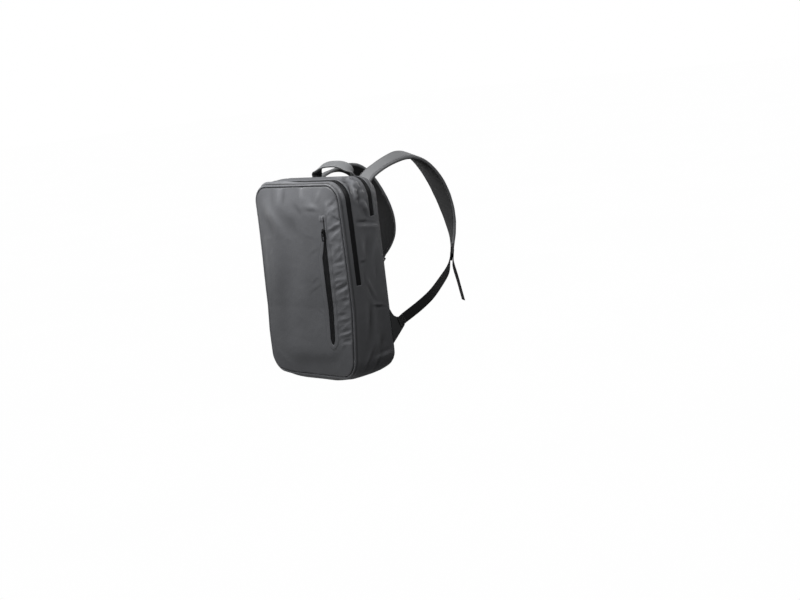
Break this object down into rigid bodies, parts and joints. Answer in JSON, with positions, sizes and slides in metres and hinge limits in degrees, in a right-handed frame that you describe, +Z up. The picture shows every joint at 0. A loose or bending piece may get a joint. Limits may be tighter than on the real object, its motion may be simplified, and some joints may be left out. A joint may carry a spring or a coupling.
{
  "type": "dry bag backpack",
  "caption": "Flat rounded dry bag backpack of coated cloth with a piped front, zipped pockets, a grab handle and padded shoulder straps, held in its worn form.",
  "frame": {"origin": "midway between the two shoulder straps, where a wearer's shoulders carry them", "axes": "+Z up the pack's back, +Y from the pack towards the wearer, +X to the wearer's right hand"},
  "size_m": [0.3289, 0.4237, 0.4914],
  "materials": {
    "coated_cloth": "satin grey coated cloth",
    "strap_cloth": "light grey woven cloth over foam",
    "spacer_mesh": "dark air mesh",
    "zip_tape": "black coated zip tape",
    "zip_metal": "black painted zinc",
    "buckle_plastic": "black moulded plastic",
    "webbing": "black woven webbing"
  },
  "bodies": {
    "pack": {"front_panel": "coated_cloth", "front_piping": "coated_cloth", "gusset": "coated_cloth", "back_panel": "spacer_mesh", "front_zip_tape": "zip_tape", "main_zip_tape": "zip_tape", "laptop_zip_tape": "zip_tape", "front_zip_slider": "zip_metal", "main_zip_slider": "zip_metal", "laptop_zip_slider": "zip_metal", "grab_handle": "strap_cloth", "handle_lining": "spacer_mesh", "shoulder_strap_right": "strap_cloth", "shoulder_strap_left": "strap_cloth", "ladder_lock_right": "buckle_plastic", "ladder_lock_left": "buckle_plastic", "webbing_right": "webbing", "webbing_left": "webbing", "wing_right": "coated_cloth", "wing_left": "coated_cloth"},
    "front_pull": {"front_zip_pull": "zip_metal"},
    "main_pull": {"main_zip_pull": "zip_metal"},
    "laptop_pull": {"laptop_zip_pull": "zip_metal"}
  },
  "joints": [
    {"name": "front_pull_hinge", "type": "hinge", "parent": "pack", "child": "front_pull", "pos_m": [0.095, -0.26505, -0.121], "axis": [-1, 0, 0], "range_deg": [0, 170]},
    {"name": "main_pull_hinge", "type": "hinge", "parent": "pack", "child": "main_pull", "pos_m": [-0.15393, -0.23026, -0.236], "axis": [0, 1, 0], "range_deg": [0, 170]},
    {"name": "laptop_pull_hinge", "type": "hinge", "parent": "pack", "child": "laptop_pull", "pos_m": [-0.15397, -0.15889, -0.087], "axis": [0, 1, 0], "range_deg": [0, 170]}
  ]
}
